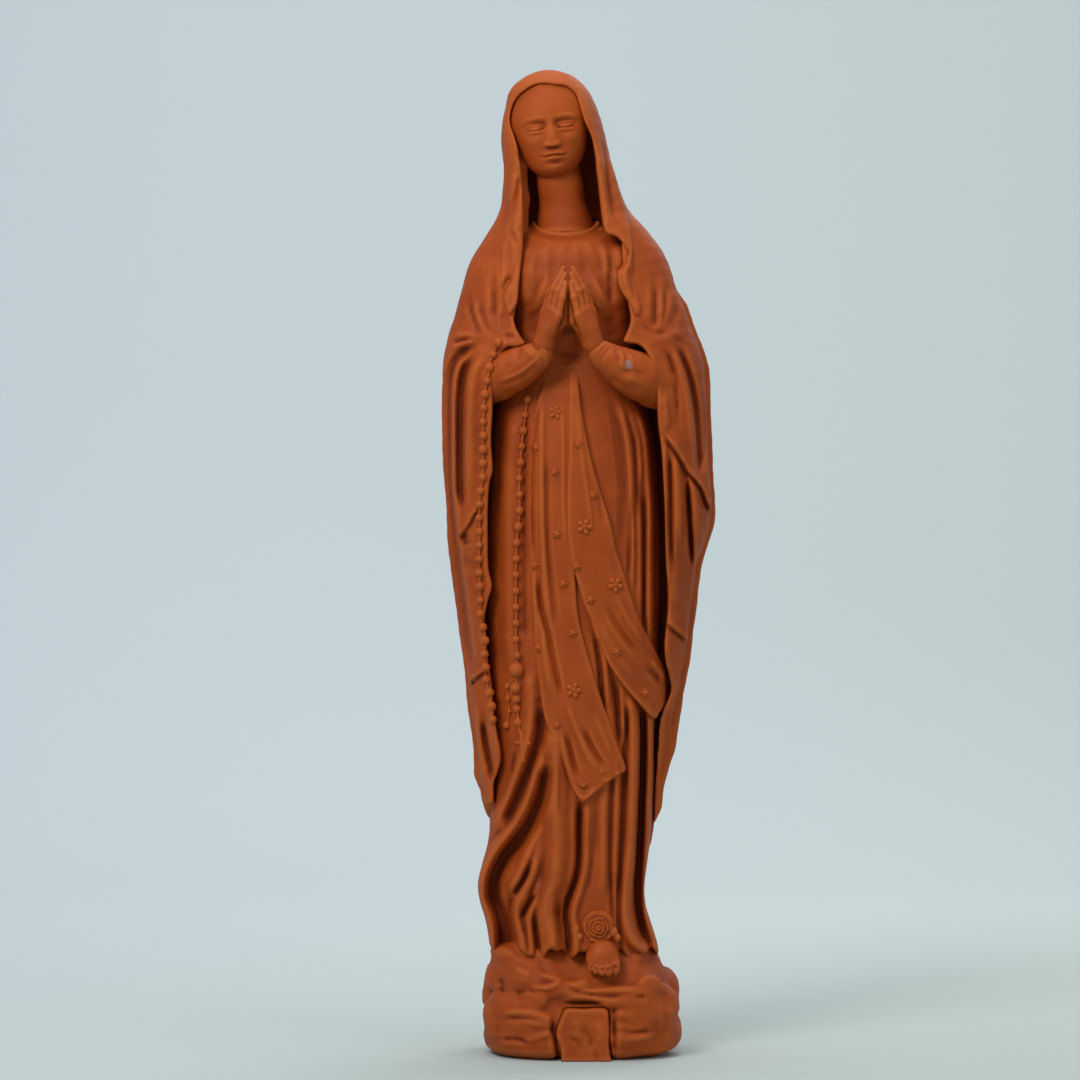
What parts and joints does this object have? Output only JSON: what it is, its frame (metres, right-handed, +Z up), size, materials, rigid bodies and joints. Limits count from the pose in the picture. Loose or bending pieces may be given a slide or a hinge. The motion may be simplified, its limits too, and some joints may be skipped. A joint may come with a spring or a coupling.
{
  "type": "madonna statue",
  "caption": "Free-standing veiled Madonna figure with praying hands, a long flowered sash, a rosary and a rose on one foot, on a low rock base.",
  "frame": {"origin": "centre of the overall bounding box, in the plane the rock base stands on", "axes": "+Z up the figure, -Y the way the figure faces, +X to a viewer's right (the figure's own left)"},
  "size_m": [0.1609, 0.1057, 0.6],
  "materials": {
    "terracotta": "unglazed matt red-brown terracotta",
    "burnished_terracotta": "smoother, slightly darker and glossier terracotta on the bare hands and foot"
  },
  "bodies": {
    "root": {"bud_01": "terracotta", "bud_02": "terracotta", "bud_03": "terracotta", "bud_04": "terracotta", "bud_05": "terracotta", "bud_06": "terracotta", "bud_07": "terracotta", "bud_08": "terracotta", "bud_09": "terracotta", "bud_10": "terracotta", "bud_11": "terracotta", "bud_12": "terracotta", "bud_13": "terracotta", "bud_14": "terracotta", "foot_rose": "terracotta", "gown_shell": "terracotta", "head": "terracotta", "left_foot": "burnished_terracotta", "left_hand": "burnished_terracotta", "left_sleeve": "terracotta", "mantle_back": "terracotta", "mantle_left_fall": "terracotta", "mantle_right_fall": "terracotta", "neck_band": "terracotta", "right_hand": "burnished_terracotta", "right_sleeve": "terracotta", "rock_base": "terracotta", "rock_front_block": "terracotta", "rosary_cross": "terracotta", "rosary_inner_strand": "terracotta", "rosary_outer_strand": "terracotta", "rosette_1": "terracotta", "rosette_2": "terracotta", "rosette_3": "terracotta", "rosette_4": "terracotta", "sash_left_tail": "terracotta", "sash_right_tail": "terracotta", "veil": "terracotta"}
  },
  "joints": []
}
